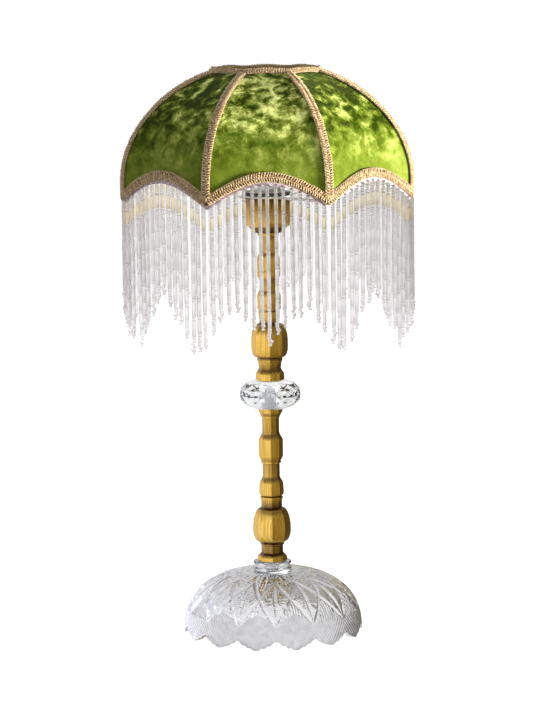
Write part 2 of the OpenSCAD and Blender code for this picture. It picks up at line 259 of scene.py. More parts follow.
def cut_glass_material():
    m, tree, bsdf = shader("cut_glass", (0.79, 0.79, 0.795), 0.02, Transmission_Weight=1.0, IOR=1.52)
    seeds = noise(tree, place(tree), 300, 4)
    tree.links.new(grey(tree, seeds, [(0.4, 0.01), (0.7, 0.05)]), bsdf.inputs["Roughness"])
    bump(tree, bsdf, noise(tree, place(tree), 150, 2), 0.005, 0.5)
    return m


def ground_glass_material():
    """The lobes of the bowl, ground to a soft grey."""
    m, tree, bsdf = shader("ground_glass", (0.76, 0.75, 0.77), 0.42, Transmission_Weight=1.0, IOR=1.2)
    cloud = noise(tree, place(tree), 130, 4, 0.4)
    tree.links.new(ramp(tree, cloud, [(0.35, (0.42, 0.41, 0.425)), (0.65, (0.6, 0.59, 0.61))]),
                   bsdf.inputs["Base Color"])
    bump(tree, bsdf, noise(tree, place(tree), 700, 4), 0.0002, 0.3)
    return m


def crystal_material():
    """Polished lead glass, worn in places."""
    return grained("crystal", (0.84, 0.85, 0.855), 0.0, 400, 4, gloss=[(0.45, 0.0), (0.75, 0.05)],
                   Transmission_Weight=1.0, IOR=1.6)


def plastic_material(name, color, roughness):
    """Moulded plastic with a fine grain."""
    return grained(name, color, roughness, 900, 3, relief=(0.00008, 0.35), Coat_Weight=0.15)


def porcelain_material():
    """Glazed white with faint specks."""
    return grained("porcelain", (0.85, 0.84, 0.8), 0.18, 700, 3,
                   tint=[(0.3, (0.78, 0.76, 0.71)), (0.6, (0.88, 0.87, 0.83))], Coat_Weight=0.6)


def bulb_glass_material():
    """Clear thin glass with a little dust."""
    return grained("thin_glass", (1, 0.99, 0.97), 0.01, 150, 3, gloss=[(0.5, 0.01), (0.8, 0.05)],
                   Transmission_Weight=1.0, IOR=1.45)


def phosphor_material():
    """Yellow grains on the bulb's filament."""
    return grained("phosphor", (0.95, 0.72, 0.2), 0.5, 2500, 2,
                   tint=[(0.3, (0.86, 0.58, 0.12)), (0.7, (0.98, 0.8, 0.3))])


def enamel_material():
    """White powder coat on the shade's wire frame."""
    return grained("white_enamel", (0.86, 0.86, 0.84), 0.4, 700, 3, relief=(0.0001, 0.4))


def velvet_material():
    """Crushed velvet: patches of pile that lie different ways, from deep olive to pale lime."""
    m, tree, bsdf = shader("crushed_velvet", (0.12, 0.15, 0.02), 0.85, Sheen_Weight=0.12,
                           Sheen_Roughness=0.35, Sheen_Tint=(0.8, 1.0, 0.25, 1), Specular_IOR_Level=0.1)
    where = place(tree)
    height = node(tree, "ShaderNodeSeparateXYZ", {"Vector": where}).outputs["Z"]
    clouds = noise(tree, where, 17, 3, 0.3)
    crush = noise(tree, where, 80, 5, 0.35, 0.62)
    grain = noise(tree, where, 620, 3, 0.3)
    crushed = node(tree, "ShaderNodeMapRange", {"Value": height, "From Min": 0.46, "From Max": 0.54,
                                                "To Min": 0.4, "To Max": 0.85}).outputs[0]
    blotch = mixed(tree, crushed, clouds, crush)
    blotch = mixed(tree, 0.12, blotch, grain)
    contrast = node(tree, "ShaderNodeMapRange", {"Value": height, "From Min": 0.47, "From Max": 0.545,
                                                 "To Min": 0.5, "To Max": 2.3}).outputs[0]
    blotch = node(tree, "ShaderNodeMath", {0: blotch, 1: -0.5}, operation="ADD").outputs[0]
    blotch = node(tree, "ShaderNodeMath", {0: blotch, 1: contrast, 2: 0.51},
                  operation="MULTIPLY_ADD").outputs[0]
    # Painted sheen and shade: this attribute makes the panel tops lighter or darker, by turns.
    nap = node(tree, "ShaderNodeAttribute", attribute_name="nap").outputs["Fac"]
    blotch = node(tree, "ShaderNodeMath", {0: blotch, 1: nap}, operation="ADD").outputs[0]
    color = ramp(tree, blotch, [(0.37, (0.018, 0.03, 0.001)), (0.45, (0.065, 0.095, 0.005)),
                                (0.51, (0.125, 0.165, 0.016)), (0.57, (0.24, 0.285, 0.05)),
                                (0.64, (0.5, 0.55, 0.15)), (0.72, (0.72, 0.78, 0.26))])
    tree.links.new(color, bsdf.inputs["Base Color"])
    bump(tree, bsdf, blotch, 0.004, 0.5)
    return m


def gimp_material():
    """Antique gold thread with painted light: lighter on the crowns of the loops, and painted shade in
    dark brown between and beneath them.
    """
    m, tree, bsdf = shader("gimp_thread", (0.55, 0.4, 0.22), 0.6, Sheen_Weight=0.2)
    where = place(tree)
    plies = noise(tree, where, 750, 4, 0.5)
    tone = noise(tree, where, 160, 3, 0.6)
    height = node(tree, "ShaderNodeAttribute", attribute_name="crown").outputs["Fac"]
    light = ramp(tree, plies, [(0.34, (0.24, 0.14, 0.055)), (0.5, (0.5, 0.34, 0.165)),
                               (0.66, (0.88, 0.7, 0.44))])
    light = mixed(tree, grey(tree, tone, [(0.4, 0.0), (0.7, 0.5)]), light, (0.27, 0.155, 0.06))
    # Painted shade and highlight: the crown attribute darkens the thread where it lies low against the
    # cloth or under the loops, and lightens the tops of the loops and knots.
    color = mixed(tree, grey(tree, height, [(0.1, 0.0), (0.7, 1.0)]), (0.08, 0.038, 0.014), light)
    tree.links.new(color, bsdf.inputs["Base Color"])
    bump(tree, bsdf, plies, 0.0006, 0.6)
    return m


def woven_material(name, color, dark, pitch):
    """Plain weave of threads a pitch apart, in metres."""
    m, tree, bsdf = shader(name, color, 0.8, Sheen_Weight=0.2)
    where = place(tree)
    bands = {"Vector": where, "Scale": 1 / pitch / 6.28, "Distortion": 0.6, "Detail": 1.0}
    across, up = (node(tree, "ShaderNodeTexWave", bands, bands_direction=way).outputs["Fac"]
                  for way in ("DIAGONAL", "Z"))
    weave = mixed(tree, 0.5, across, up)
    tone = noise(tree, where, 90, 3)
    threads = mixed(tree, grey(tree, weave, [(0.2, 0.5), (0.7, 0.0)]), color, dark)
    tree.links.new(mixed(tree, grey(tree, tone, [(0.3, 0.25), (0.7, 0.0)]), threads, dark),
                   bsdf.inputs["Base Color"])
    bump(tree, bsdf, weave, 0.0002, 0.5)
    return m


def bead_material(name, color):
    """Milky glass that lets light through but no picture. Its tone changes from string to string."""
    m, tree, bsdf = shader(name, color, 0.6, Transmission_Weight=1.0, IOR=1.3, Coat_Weight=0.6,
                           Coat_Roughness=0.08)
    tone = noise(tree, place(tree, (240, 240, 9)), 1.0, 3)
    tree.links.new(ramp(tree, tone, [(0.35, tuple(c * 0.84 for c in color)), (0.65, color)]),
                   bsdf.inputs["Base Color"])
    return m


brass = brass_material()
chrome = chrome_material()
steel = steel_material()
aluminium, _, _ = shader("aluminium", (0.86, 0.86, 0.85), 0.45, Metallic=1.0)
cut_glass = cut_glass_material()
ground_glass = ground_glass_material()
crystal = crystal_material()
black_plastic = plastic_material("black_plastic", (0.012, 0.012, 0.013), 0.3)
white_plastic = plastic_material("white_plastic", (0.8, 0.8, 0.78), 0.45)
soft_washer = plastic_material("soft_washer", (0.75, 0.77, 0.78), 0.55)
porcelain = porcelain_material()
thin_glass = bulb_glass_material()
phosphor = phosphor_material()
enamel = enamel_material()
velvet = velvet_material()
gimp_thread = gimp_material()
lining_cloth = woven_material("lining_cloth", (0.84, 0.8, 0.72), (0.7, 0.64, 0.55), 0.0006)
ribbon = woven_material("ribbon", (0.5, 0.4, 0.41), (0.36, 0.26, 0.27), 0.0011)
clear_bead = bead_material("clear_bead", (0.9, 0.875, 0.88))
champagne_bead = bead_material("champagne_bead", (0.97, 0.88, 0.68))


# ---------- levels and outlines from the frame ----------

def level(name, end):
    """Height in millimetres of a CAD node's lower (0) or upper (1) face."""
    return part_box(name)[end].z / MM


def radius(name):
    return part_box(name)[1].x / MM


def span(name):
    """Lower face, upper face and radius of a CAD node, in millimetres."""
    return level(name, 0), level(name, 1), radius(name)


LINE, SWEEP, OPEN, CLOSE = "line", "sweep", "open", "close"


def turning(stretches, z):
    """Outline of a turning, from stretches of (height, radius below, radius above, kind)."""
    out = []
    for height, r0, r1, kind in stretches:
        for t in (0, 1) if kind == LINE else np.linspace(0, 1, 9):
            a = t * math.pi / 2
            if kind == SWEEP:
                r, h = r0 + (r1 - r0) * math.sin(a) ** 2, t
            elif kind == OPEN:
                r, h = r0 + (r1 - r0) * math.sin(a), 1 - math.cos(a)
            elif kind == CLOSE:
                r, h = r1 + (r0 - r1) * math.cos(a), math.sin(a)
            else:
                r, h = r0 + (r1 - r0) * t, t
            out.append((r, z + height * h))
        z += height
    return out


def softened(outline, bevel):
    """The outline with its sharp corners cut by a small bevel."""
    p = [Vector(q) for q in outline]
    p = [q for i, q in enumerate(p) if i == 0 or (q - p[i - 1]).length > 1e-4]
    out = [p[0]]
    for before, q, after in zip(p, p[1:], p[2:]):
        a, b = before - q, after - q
        if a.angle(b) < math.radians(158) and min(a.length, b.length) > 0.3:
            cut = min(bevel, 0.35 * a.length, 0.35 * b.length)
            out += [q + a.normalized() * cut, q + b.normalized() * cut]
        else:
            out.append(q)
    return [tuple(q) for q in out + [p[-1]]]


def octagon_rings(outline, chamfer):
    """Rings of 16 points: an octagon with an edge in front, its eight corners cut by the chamfer."""
    verts = []
    corners = [Vector((math.cos(k * math.pi / 4), math.sin(k * math.pi / 4))) for k in range(8)]
    for r, z in outline:
        for k in range(8):
            corner = corners[k] * r
            before, after = corners[k - 1] * r - corner, corners[(k + 1) % 8] * r - corner
            cut = min(chamfer, 0.2 * before.length)
            for side in (before, after):
                q = corner + side.normalized() * cut
                verts.append((q.x, q.y, z))
    return np.array(verts)


def ring_of_bore(r, z):
    """16 points of a round bore, beside those of octagon_rings."""
    turn = [k * math.pi / 4 + s for k in range(8) for s in (-0.12, 0.12)]
    return np.array([(r * math.cos(a), r * math.sin(a), z) for a in turn])


# ---------- stem ----------

BORE = 5.2
LOWER = [(3.5, 15, 15, LINE), (5.5, 15, 11, SWEEP), (7, 11, 11, LINE), (2.2, 12, 12, LINE),
         (1.3, 12.6, 13.6, LINE), (13, 13.6, 19, OPEN), (21.4, 19, 11, CLOSE),
         (7, 10.5, 10.5, LINE), (3, 10.5, 11.5, SWEEP), (1.5, 11.5, 11.5, LINE)]
MIDDLE = [(1.2, 10.8, 10.8, LINE), (3, 12, 12.5, LINE), (8.3, 12.5, 12, LINE), (8, 12, 8.7, SWEEP),
          (12.8, 8.7, 8.7, LINE), (3.7, 10, 10, LINE), (1.6, 11, 11, LINE), (2, 11.6, 12.2, LINE),
          (15.5, 12.2, 12.2, LINE), (8.1, 12.2, 8.9, SWEEP), (13.1, 8.6, 8.6, LINE),
          (4, 8.6, 9.6, SWEEP), (3, 9.8, 11.4, LINE), (4.2, 12, 12.3, LINE)]
UPPER = [(5.9, 14.4, 14.4, LINE), (6.1, 14.4, 11.3, SWEEP), (6.9, 11, 11.9, LINE),
         (4, 12.6, 12.9, LINE), (10.1, 13.6, 18.4, OPEN), (7, 18.4, 18.4, LINE),
         (16.8, 18.4, 10.4, CLOSE), (5, 9.9, 9.9, LINE), (6, 10.4, 10.9, LINE),
         (1.3, 10.9, 10.9, LINE)]
TOP = [(2.7, 10.6, 11.8, SWEEP), (2.6, 11.8, 11.8, LINE), (1, 11.1, 11.1, LINE),
       (8.4, 11.8, 11.8, LINE), (6.9, 11.8, 9.4, SWEEP), (9, 9.3, 9.3, LINE),
       (3.9, 9.4, 11.3, SWEEP), (4.5, 11.3, 11.3, LINE), (1, 10.7, 10.7, LINE),
       (12.1, 11.3, 11.3, LINE), (6.9, 11.3, 8.9, SWEEP), (11.9, 8.85, 8.85, LINE),
       (6, 8.9, 10.8, SWEEP), (0.9, 10.8, 10.8, LINE)]
CUP = [(5.9, 15.2, 19.7, LINE), (3.9, 21.3, 24.5, LINE), (24.6, 24.5, 24.5, LINE)]


def patina(outline):
    """How deep each point of an outline lies between its neighbours: 1 in a groove, 0 in the open."""
    z = np.array([q[1] for q in outline])
    r = np.array([q[0] for q in outline])
    out = []
    for q in outline:
        near = np.abs(z - q[1]) < 3.2
        out.append(min(1.0, max(0.0, (r[near].max() - q[0] - 0.35) / 2.2)))
    out[0] = out[-1] = 1.0
    return out


def baluster(name, stretches):
    """One cast piece of the stem."""
    outline = softened(turning(stretches, level(name, 0)), 0.35)
    low, high = outline[0][1], outline[-1][1]
    outline = [(outline[0][0] - 1, low), (outline[0][0], low + 0.6)] + outline[1:-1]
    outline += [(stretches[-1][2], high - 0.6), (stretches[-1][2] - 1, high)]
    verts = np.concatenate([octagon_rings(outline, 0.5), ring_of_bore(BORE, high),
                            ring_of_bore(BORE, low)])
    faces = grid_faces(len(outline) + 2, 16, True, True)
    piece = mesh(name + "_brass", verts, faces, "lamp", "antique_brass", brass, sharp=15)
    attribute(piece, "patina", np.repeat(patina(outline) + [1, 1], 16))
    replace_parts(piece, name)


def socket_cup():
    floor, wall = 3, 2.2
    outline = softened(turning(CUP, level("socket_cup", 0)), 0.4)
    low, high = outline[0][1], outline[-1][1]
    inside = [(24.5 - wall, high), (24.5 - wall, low + 9.9), (17.2, low + 9.8), (17.2, low + floor)]
    verts = np.concatenate([octagon_rings(outline, 0.6), octagon_rings(inside[:2], 0.3),
                            ring_of_bore(*inside[2]), ring_of_bore(*inside[3]),
                            ring_of_bore(BORE, low + floor), ring_of_bore(BORE, low)])
    rows = len(verts) // 16
    piece = mesh("socket_cup_brass", verts, grid_faces(rows, 16, True, True), "lamp", "antique_brass",
                 brass, sharp=15)
    attribute(piece, "patina", np.repeat(patina(outline) + [0.6] * 6, 16))
    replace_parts(piece, "socket_cup")


for part, stretches in (("lower_baluster", LOWER), ("middle_baluster", MIDDLE),
                        ("upper_baluster", UPPER), ("top_baluster", TOP)):
    baluster(part, stretches)
socket_cup()


def crystal_ball():
    """Faceted rondelle: rings of points turned by half a step, joined by triangles and kites."""
    low, high = level("crystal_ball", 0), level("crystal_ball", 1)
    h, count = high - low, 12
    rings = [(15.2, 0, 0), (23.5, 0.1, 0.5), (29, 0.28, 0), (31, 0.5, 0.5), (29.2, 0.72, 0),
             (24, 0.91, 0.5), (16.6, 1, 0)]
    verts = []
    for r, t, shift in rings:
        turn = 2 * math.pi * (np.arange(count) + shift) / count
        verts.append(ring(r, turn, low + t * h))
    bore = radius("crystal_sleeve") + 0.2
    turn = 2 * math.pi * np.arange(count) / count
    for z in (high, low):
        verts.append(ring(bore, turn, z))
    faces = []
    for i in range(len(rings) - 1):
        for j in range(count):
            k = (j + 1) % count
            a, b, c, d = i * count + j, i * count + k, (i + 1) * count + k, (i + 1) * count + j
            shift, above = rings[i][2], rings[i + 1][2]
            if shift == above:
                faces.append((a, b, c, d))
            elif above > shift:
                faces += [(a, b, d), (b, c, d)]
            else:
                faces += [(a, b, c), (a, c, d)]
    last = len(rings) - 1
    for i in range(last, last + 3):
        for j in range(count):
            k = (j + 1) % count
            faces.append((i * count + j, i * count + k, (i + 1) % (last + 3) * count + k,
                          (i + 1) % (last + 3) * count + j))
    piece = mesh("crystal_rondelle", np.concatenate(verts), faces, "lamp", "crystal", crystal,
                 smooth=False)
    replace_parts(piece, "crystal_ball")


def sleeve(name):
    """Chrome tube with a fine turned bead at each end."""
    low, high, r = span(name)
    outside = [(r - 0.5, low), (r, low + 0.5), (r, low + 1.4), (r - 0.35, low + 1.9),
               (r - 0.35, high - 1.9), (r, high - 1.4), (r, high - 0.5), (r - 0.5, high)]
    piece = lathe(name + "_chrome", outside + [(BORE, high), (BORE, low)], "lamp", "chrome", chrome)
    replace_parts(piece, name)


crystal_ball()
sleeve("crystal_sleeve")
sleeve("collar_sleeve")


# ---------- base ----------

LOBES = 14
BASE_TURN = math.radians(14.6 - 90)
BASE_R = radius("glass_base")
SEAT_Z = level("glass_base", 1)
DOME_H = SEAT_Z + 1
BOWL_POWER = 2 / 2.5
BOWL_HOLE, SEAT_R = 5.6, 17
SIDE_WALL, TOP_WALL = 6, 7
NOTCH = 9


def bowl_line(r, h, count):
    """Points of the bowl's curve, evenly spaced, from its middle down to its rim."""
    a = np.linspace(0, math.pi / 2, 2000)
    p = np.stack([r * np.sin(a) ** BOWL_POWER, h * np.maximum(np.cos(a), 0) ** BOWL_POWER], -1)
    along = np.concatenate([[0], np.cumsum(np.linalg.norm(np.diff(p, axis=0), axis=1))])
    at = np.linspace(0, along[-1], count)
    return np.interp(at, along, p[:, 0]), np.interp(at, along, p[:, 1]), at


def rim_height(lobe):
    """Height of the rim at a place counted in lobes: a tip at 0, and small teeth up to the notch."""
    u = 2 * np.abs(lobe - np.round(lobe))
    teeth = 1.3 * np.abs((u * 3.5) % 1 - 0.5) * (u > 0.12)
    return np.clip(NOTCH * (0.2 * u + 0.8 * u ** 1.7) + teeth * 2, 0, NOTCH)


def cuts(lobe, s, r):
    """(depth of the cuts, ground or clear) at a place in lobes and at the distance s down the curve."""
    pitch = 2 * np.pi * r / LOBES
    apex, reach, ground = 72.0, 31.0, 97.0
    slant = 1 / np.sqrt(1 + (0.5 * pitch / reach) ** 2)
    net = []
    for sign in (-1, 1):
        offset = lobe - sign * 0.5 * (s - apex) / reach
        net.append(np.abs(offset - np.round(offset)) * pitch * slant)
    u = np.abs(lobe - np.round(lobe))
    v = np.abs(lobe + 0.5 - np.round(lobe + 0.5))
    ends = np.clip((apex + reach + 1 - s) / 8, 0, 1) * np.clip((s - 37) / 8, 0, 1)
    groove = np.clip(1 - np.minimum(*net) / 2.2, 0, 1) * ends
    lens = np.sin(np.pi * np.clip((s - 48) / 50, 0, 1))
    groove = np.maximum(groove, np.clip(lens - v * pitch / 2.4, 0, 1))
    plain = groove < 0.04
    in_petal = (s > apex + 3) & (u < 0.5 * (s - apex) / reach)
    strokes = np.abs((u * 13) % 1 - 0.5) * 2 * in_petal * (s < ground + 3)
    hobnail = np.abs((v * 7) % 1 - 0.5) + np.abs((s / 5.5) % 1 - 0.5)
    hobnail = hobnail * (s > 41) * (s < 57) * (u < 0.5 * (57 - s) / 16)
    leaf = np.abs(((s * 0.8 + u * pitch * 1.2) / 4.5) % 1 - 0.5) * 2 * (s > ground)
    rays = np.abs((3 * lobe) % 1 - 0.5) * 2 * np.clip((s - 26) / 6, 0, 1) * np.clip((52 - s) / 8, 0, 1)
    depth = 1.7 * groove + plain * (0.75 * strokes + 0.7 * hobnail + 0.45 * leaf + 0.55 * rays)
    lobes = (s > ground - 8 * (1 - 2 * u)) & (groove < 0.3)
    return depth, lobes | ((groove > 0.2) & (s < apex))


def glass_base():
    """The cut bowl: a fine grid outside and a plain one inside, joined at the rim and the hole."""
    across = 44
    cols, outer_rows, inner_rows = LOBES * across, 112, 22
    lobe = np.arange(cols) / across
    turn = BASE_TURN + 2 * np.pi * lobe / LOBES
    rim = rim_height(lobe)
    out_r, out_z, out_s = bowl_line(BASE_R, DOME_H, 600)
    in_r, in_z, in_s = bowl_line(BASE_R - SIDE_WALL, DOME_H - TOP_WALL, 600)
    start = np.interp(19.5, out_r, out_s)
    rows, ground = [], []

    def add(r, z, dull=False):
        rows.append(ring(r, turn, z))
        ground.append(np.zeros(cols, bool) | dull)

    one = np.ones(cols)
    add(BOWL_HOLE * one, SEAT_Z * one)
    add(SEAT_R * one, SEAT_Z * one)
    for i in range(outer_rows):
        end = np.interp(-rim, -out_z, out_s)
        s = start + (end - start) * i / (outer_rows - 1)
        r, z = np.interp(s, out_s, out_r), np.interp(s, out_s, out_z)
        dr, dz = np.interp(s + 0.5, out_s, out_r) - r, np.interp(s + 0.5, out_s, out_z) - z
        size = np.hypot(dr, dz) + 1e-6
        depth, dull = cuts(lobe, s, r)
        depth = depth * np.clip((outer_rows - 1 - i) / 2, 0, 1)
        add(r + depth * dz / size, np.minimum(z - depth * dr / size, SEAT_Z), dull)
    for i in range(inner_rows):
        end = np.interp(-rim, -in_z, in_s)
        s = end + (12 - end) * i / (inner_rows - 1)
        add(np.interp(s, in_s, in_r), np.interp(s, in_s, in_z))
    add(BOWL_HOLE * one, (DOME_H - TOP_WALL) * one)
    piece = mesh("cut_glass_bowl", np.concatenate(rows), grid_faces(len(rows), cols, True, True),
                 "lamp", "clear_glass", [cut_glass, ground_glass],
                 indices=np.concatenate(ground).astype(int), sharp=14)
    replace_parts(piece, "glass_base")


def glass_collar():
    low, high, bore = level("glass_collar", 0), level("glass_collar", 1), radius("collar_sleeve") + 0.2
    h = high - low
    outside = [(17.4, low), (18.6, low + 0.5), (19, low + 1.3), (18.6, low + 2.2), (17.6, low + 3.2),
               (17.3, low + h / 2), (17.6, high - 3.2), (18.6, high - 2.2), (19, high - 1.3),
               (18.6, high - 0.5), (17.4, high)]
    piece = lathe("collar_glass", outside + [(bore, high), (bore, low)], "lamp", "clear_glass", crystal,
                  count=96, sharp=40)
    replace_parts(piece, "glass_collar")


glass_base()
glass_collar()


def threads(r, low, high, pitch, depth):
    """Outline of a thread as rings."""
    out = []
    for z in np.arange(low, high - pitch / 2, pitch):
        out += [(r - depth, z), (r, z + pitch / 2)]
    return out + [(r - depth, high)]


def base_fixings():
    nut_low, nut_high = level("base_nut", 0), level("base_nut", 1)
    across = (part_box("base_nut")[1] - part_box("base_nut")[0]).x / MM / 2
    rings = [(across - 1.2, nut_low), (across, nut_low + 1), (across, nut_high - 1),
             (across - 1.2, nut_high)]
    turn = 2 * math.pi * np.arange(24) / 24
    sixth = math.pi / 3
    flat = across * math.cos(sixth / 2) / np.cos((turn + sixth / 2) % sixth - sixth / 2)
    verts = []
    for r, z in rings:
        verts.append(ring(np.minimum(flat, r), turn, z))
    for z in (nut_high, nut_low):
        verts.append(ring(5.05, turn, z))
    piece = mesh("hex_nut", np.concatenate(verts), grid_faces(6, 24, True, True), "lamp", "steel",
                 steel, sharp=20)
    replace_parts(piece, "base_nut")
    for name, material, slot in (("base_washer", steel, "steel"),
                                 ("base_gasket", soft_washer, "rubber"),
                                 ("collar_gasket", soft_washer, "rubber")):
        low, high, r = span(name)
        edge = (high - low) * 0.3
        outline = [(r - edge, low), (r, low + edge), (r, high - edge), (r - edge, high), (BORE, high),
                   (BORE, low)]
        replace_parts(lathe(name + "_turned", outline, "lamp", slot, material), name)
    low, high = level("threaded_rod", 0), level("threaded_rod", 1)
    outline = threads(5, low, low + 22, 1, 0.45)
    outline += [(4.9, low + 22.5), (4.9, high), (3.5, high), (3.5, low)]
    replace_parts(lathe("lamp_rod", outline, "lamp", "steel", steel, count=40), "threaded_rod")
    low = level("cord_bush", 0)
    outline = [(2.6, low), (3.4, low), (4.6, low + 0.3), (5, low + 0.8), (5, low + 1.5),
               (3.45, low + 1.5), (3.45, low + 9), (3.1, low + 9.4), (2.5, low + 9.4), (2.5, low + 0.6)]
    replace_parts(lathe("lead_bush", outline, "lamp", "white_plastic", white_plastic, count=48),
                "cord_bush")


base_fixings()


# ---------- lampholder and bulb ----------

SCREW_PITCH = 3.63


def screw_wave(r, depth, start, levels):
    """Outline of a rolled screw shell, drawn as rings."""
    return [(r - depth + depth * math.cos(2 * math.pi * (z - start) / SCREW_PITCH), z) for z in levels]


def lampholder():
    low, high, r = span("holder_shell")
    outside = [(r - 0.8, low), (r - 0.3, low + 0.6), (r - 0.3, high - 12)]
    outside += threads(r, high - 11, high - 1, 2, 0.5) + [(r - 1, high - 0.3), (r - 1.8, high)]
    inside = [(17.8, high), (17.2, high - 0.8), (17.2, low)]
    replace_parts(lathe("holder_body", outside + inside, "lamp", "white_plastic", white_plastic),
                "holder_shell")
    low, high, r = span("holder_cap")
    outline = [(BORE, low), (r - 3, low), (r, low + 3), (r, high), (r - 1.6, high),
               (r - 1.6, low + 3.8), (r - 3.6, low + 2.2), (BORE, low + 2.2)]
    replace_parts(lathe("holder_dome", outline, "lamp", "black_plastic", black_plastic), "holder_cap")
    low, high, r = span("screw_shell")
    wave = screw_wave(r, 0.25, low, np.arange(low, high, 0.45))
    inside = [(x - 0.4, z) for x, z in reversed(wave)]
    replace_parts(lathe("lamp_screw_shell", wave + inside, "lamp", "contact_brass", brass), "screw_shell")
    low, high, r = span("shade_ring")
    count = 144
    knurl = np.where(np.arange(count) % 4 < 2, 0.0, 0.7)
    turn = 2 * math.pi * np.arange(count) / count
    rows = [(20.5, low, 0), (r - 0.4, low, 1), (r, low + 0.5, 1), (r, high - 0.5, 1),
            (r - 0.6, high, 1), (20.3, high, 0)]
    verts = [ring(rr - knurl * k, turn, z) for rr, z, k in rows]
    piece = mesh("shade_clamp_ring", np.concatenate(verts), grid_faces(len(rows), count, True, True),
                 "shade_ring", "black_plastic", black_plastic, sharp=25)
    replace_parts(piece, "shade_ring")


def bulb():
    low, high, r = span("bulb_cap")
    screw = screw_wave(r, 0.45, low + 3, np.arange(low + 3, high - 5, 0.4))
    outside = [(r - 4, low), (r - 1.2, low + 1.5)] + screw + [(r - 0.2, high - 4.4), (r - 0.2, high)]
    inside = [(r - 1.2, high), (r - 1.4, low + 4), (r - 4.2, low + 1)]
    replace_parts(lathe("bulb_screw_cap", outside + inside, "bulb_cap", "cap_metal", aluminium),
                "bulb_cap")
    low, high, r = span("bulb_glass")
    belly = turning([((high - low) * 0.3, 12.8, r, OPEN), ((high - low) * 0.7, r, 0.6, SWEEP)], low)
    inner = [(max(q[0] - 0.9, 0.3), min(q[1], high - 3)) for q in reversed(belly)]
    outline = belly + [(0.3, high)] + inner
    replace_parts(lathe("bulb_envelope", outline, "bulb", "bulb_glass", thin_glass, count=72, sharp=60),
                "bulb_glass")


lampholder()
bulb()
for name, material in (("holder_insulator", porcelain), ("centre_contact", brass),
                       ("terminal_screws", brass), ("bulb_contact", steel),
                       ("bulb_filament", phosphor), ("top_ring", enamel), ("frame_ribs", enamel),
                       ("bottom_wire", enamel)):
    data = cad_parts[name].data
    data.materials.clear()
    data.materials.append(material)


# ---------- shade ----------

PANELS = 8
HALF = math.pi / PANELS
FLAT = math.cos(HALF)
SHADE_R = -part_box("velvet_panel_1")[0].y / MM / FLAT
EDGE_Z = level("velvet_panel_1", 0)
CROWN_Z = level("velvet_panel_1", 1)
DOME_Z = 455
DOME_RISE = 109.5
SCALLOP = 22.5
HEM = 5
BOW = 3.5
# Painted sheen and shade on the panel tops: the height they start at, and how much lighter or darker they
# make the colour.
PAINTED_TOP_FROM, PAINTED_SHEEN, PAINTED_SHADE = 480, 0.055, -0.09
HALF_W = SHADE_R * math.sin(HALF)


def panel_angle(i):
    """Direction in which panel i faces; the first one faces the front."""
    return (i - 1) * 2 * HALF - math.pi / 2


def edge_height(y):
    """Height of the scalloped edge at the distance y from a panel's middle."""
    return EDGE_Z + SCALLOP * np.cos(math.pi / 2 * np.minimum(1, np.abs(y) / HALF_W))


def dome_angle(z):
    return np.arcsin((z - DOME_Z) / DOME_RISE)


def turned(x, y, a):
    """x and y turned round Z by the angle a."""
    return x * math.cos(a) - y * math.sin(a), x * math.sin(a) + y * math.cos(a)


def gore_point(i, u, angle, out=0.0):
    """Point of panel i at the share u of the way from its middle to a rib, at an angle up the dome."""
    r = (SHADE_R + out / FLAT) * np.cos(angle)
    x, y = r * FLAT, r * math.sin(HALF) * u
    z = DOME_Z + (DOME_RISE + out) * np.sin(angle)
    return np.stack([*turned(x, y, panel_angle(i)), z + 0 * x], -1)


def ripple(x, y, z):
    """Smooth uneven relief between -1 and 1."""
    broad = np.sin(x * 0.21 + 1.7 * np.sin(z * 0.13)) * np.sin(z * 0.17 + 1.3 * np.sin(y * 0.19 + 1))
    fine = 0.5 * np.sin(x * 0.43 + z * 0.31 + 2 * np.sin(y * 0.11)) * np.sin(y * 0.37 - z * 0.29)
    return (broad + fine) / 1.5


def gore_layer(i, low, high, out, rows, cols, seam, relief=0.0, dish=0.0):
    """A grid over panel i, from low above the scalloped edge up to the height high."""
    u = np.linspace(-1, 1, cols)[None, :] * (1 - seam)
    v = np.linspace(0, 1, rows)[:, None]
    start = dome_angle(edge_height(u * HALF_W) + low)
    angle = start + (dome_angle(high) - start) * v
    u = u + 0 * v
    p = gore_point(i, u, angle, out)
    inward = -p / np.linalg.norm(p[..., :2], axis=-1)[..., None] * [1, 1, 0]
    amount = dish * (1 - u ** 2) * np.sin(math.pi * np.clip(v, 0, 1))
    amount = amount + relief * ripple(p[..., 0], p[..., 1], p[..., 2]) * (1 - np.abs(u) ** 6)
    return p + inward * amount[..., None]


def shell(outer, inner):
    """Points and faces of a thin closed sheet between two grids."""
    rows, cols = outer.shape[:2]
    verts = np.concatenate([outer.reshape(-1, 3), inner.reshape(-1, 3)])
    base = rows * cols
    front = grid_faces(rows, cols)
    faces = front + [tuple(k + base for k in reversed(f)) for f in front]
    rim = [(0, j) for j in range(cols)] + [(i, cols - 1) for i in range(1, rows)]
    rim += [(rows - 1, j) for j in range(cols - 2, -1, -1)] + [(i, 0) for i in range(rows - 2, 0, -1)]
    around = [i * cols + j for i, j in rim]
    for a, b in zip(around, around[1:] + around[:1]):
        faces.append((b, a, a + base, b + base))
    return verts, faces


def velvet_panels():
    """The tops of the panels get painted sheen and painted shade by turns: lighter on the front panel and
    every other one, darker on those between.
    """
    for i in range(1, PANELS + 1):
        outer = gore_layer(i, 0.2, CROWN_Z, 0.0, 56, 48, 0.004, 0.45, 0.8)
        inner = gore_layer(i, 0.2, CROWN_Z, -0.7, 56, 48, 0.004, 0.45, 0.8)
        verts, faces = shell(outer, inner)
        piece = mesh(f"velvet_gore_{i}", verts, faces, "shade", "velvet", velvet)
        # Painted sheen or painted shade, growing from the lower height up to just under the crown.
        upper = np.clip((verts[:, 2] - PAINTED_TOP_FROM) / (CROWN_Z - 10 - PAINTED_TOP_FROM), 0, 1)
        attribute(piece, "nap", upper * (PAINTED_SHEEN if i % 2 else PAINTED_SHADE))
        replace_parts(piece, f"velvet_panel_{i}")


